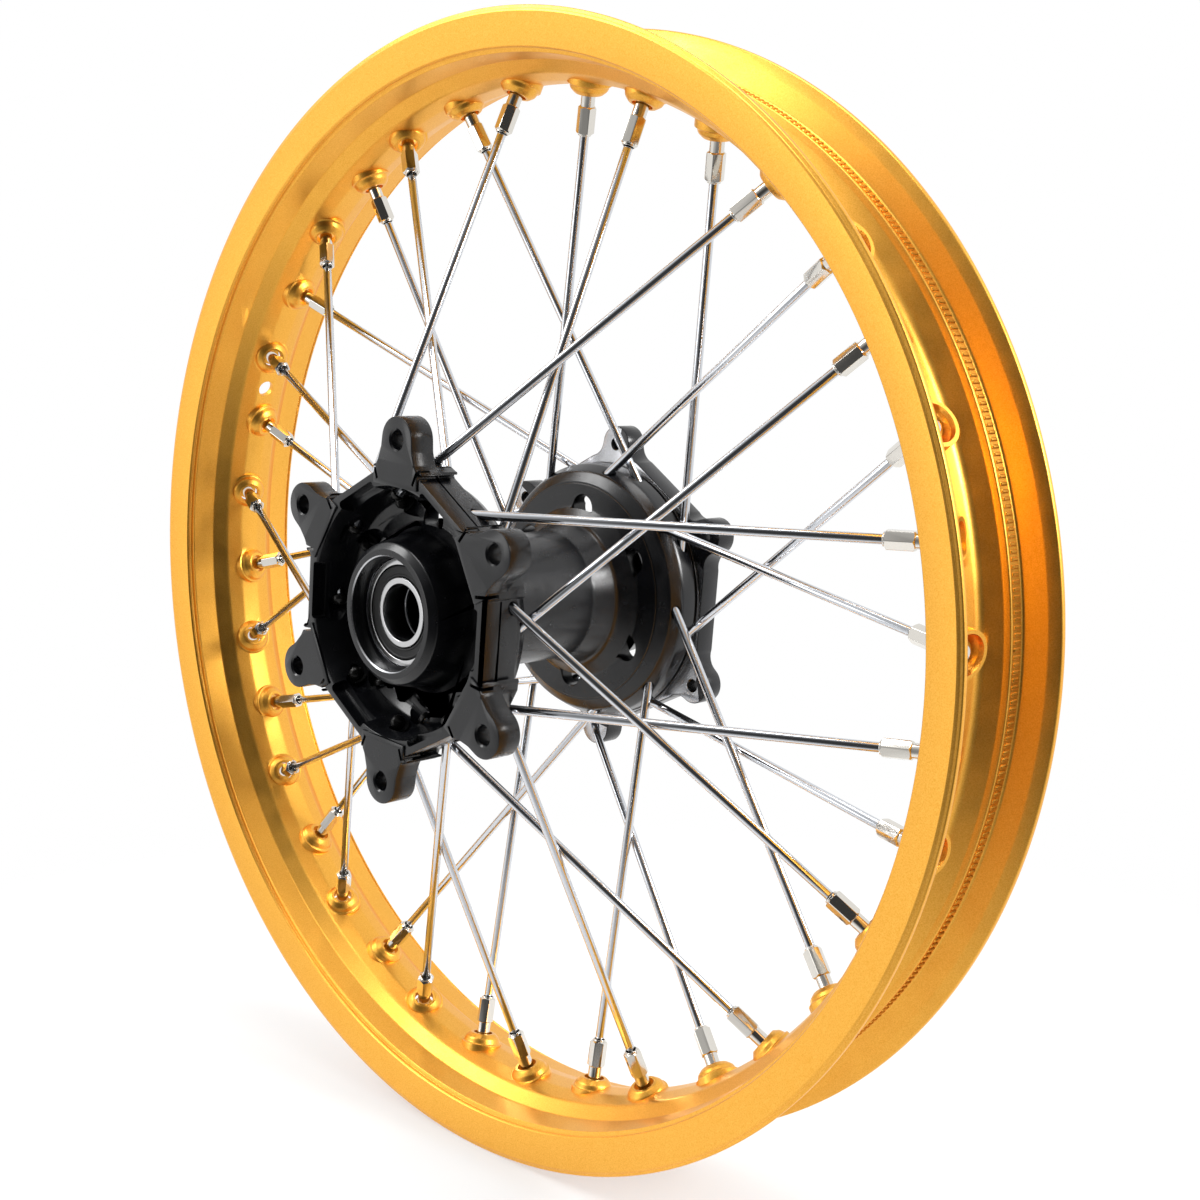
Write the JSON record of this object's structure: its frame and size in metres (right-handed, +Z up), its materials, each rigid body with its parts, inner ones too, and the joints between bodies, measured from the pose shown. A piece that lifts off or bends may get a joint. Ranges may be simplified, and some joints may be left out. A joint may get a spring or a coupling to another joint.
{
  "type": "spoked motorcycle wheel",
  "caption": "Wire-spoked off-road motorcycle rear wheel: drop-centre rim, straight-pull spokes, billet hub with sprocket and disc lugs, two sealed bearings.",
  "frame": {"origin": "centre of the wheel on the axle line, in the rim's middle plane", "axes": "+Y along the axle from the sprocket side to the brake disc side, +Z up, +X completes the right-handed frame"},
  "size_m": [0.5126, 0.1478, 0.5126],
  "materials": {
    "gold_anodised": "bead-blasted, gold anodised, satin",
    "black_anodised": "machined, black anodised, satin",
    "polished_steel": "polished stainless spokes and nickel-plated nipples",
    "bearing_steel": "ground bearing steel",
    "cage_steel": "pressed cage with polished balls",
    "seal_rubber": "matt moulded rubber",
    "spacer_aluminium": "turned"
  },
  "bodies": {
    "axle_set": {"centre_spacer": "spacer_aluminium", "bearing_inner_race_sprocket": "bearing_steel", "bearing_inner_race_disc": "bearing_steel"},
    "wheel": {"hub_body": "black_anodised", "rim": "gold_anodised", "spoke_sprocket_01": "polished_steel", "spoke_sprocket_02": "polished_steel", "spoke_sprocket_03": "polished_steel", "spoke_sprocket_04": "polished_steel", "spoke_sprocket_05": "polished_steel", "spoke_sprocket_06": "polished_steel", "spoke_sprocket_07": "polished_steel", "spoke_sprocket_08": "polished_steel", "spoke_sprocket_09": "polished_steel", "spoke_sprocket_10": "polished_steel", "spoke_sprocket_11": "polished_steel", "spoke_sprocket_12": "polished_steel", "spoke_sprocket_13": "polished_steel", "spoke_sprocket_14": "polished_steel", "spoke_sprocket_15": "polished_steel", "spoke_sprocket_16": "polished_steel", "spoke_sprocket_17": "polished_steel", "spoke_sprocket_18": "polished_steel", "spoke_disc_01": "polished_steel", "spoke_disc_02": "polished_steel", "spoke_disc_03": "polished_steel", "spoke_disc_04": "polished_steel", "spoke_disc_05": "polished_steel", "spoke_disc_06": "polished_steel", "spoke_disc_07": "polished_steel", "spoke_disc_08": "polished_steel", "spoke_disc_09": "polished_steel", "spoke_disc_10": "polished_steel", "spoke_disc_11": "polished_steel", "spoke_disc_12": "polished_steel", "spoke_disc_13": "polished_steel", "spoke_disc_14": "polished_steel", "spoke_disc_15": "polished_steel", "spoke_disc_16": "polished_steel", "spoke_disc_17": "polished_steel", "spoke_disc_18": "polished_steel", "bearing_outer_race_sprocket": "bearing_steel", "bearing_seal_sprocket_outside": "seal_rubber", "bearing_seal_sprocket_inside": "seal_rubber", "bearing_outer_race_disc": "bearing_steel", "bearing_seal_disc_outside": "seal_rubber", "bearing_seal_disc_inside": "seal_rubber"},
    "cage_sprocket": {"bearing_cage_sprocket": "cage_steel"},
    "cage_disc": {"bearing_cage_disc": "cage_steel"}
  },
  "joints": [
    {"name": "wheel_spin", "type": "hinge", "parent": "axle_set", "child": "wheel", "pos_m": [0, 0, 0], "axis": [0, 1, 0], "continuous": true},
    {"name": "cage_sprocket_spin", "type": "hinge", "parent": "axle_set", "child": "cage_sprocket", "pos_m": [0, -0.068, 0], "axis": [0, 1, 0], "continuous": true},
    {"name": "cage_disc_spin", "type": "hinge", "parent": "axle_set", "child": "cage_disc", "pos_m": [0, 0.052, 0], "axis": [0, 1, 0], "continuous": true}
  ],
  "couplings": [
    {"joint": "cage_sprocket_spin", "follows": "wheel_spin", "ratio": 0.5917},
    {"joint": "cage_disc_spin", "follows": "wheel_spin", "ratio": 0.5917}
  ]
}
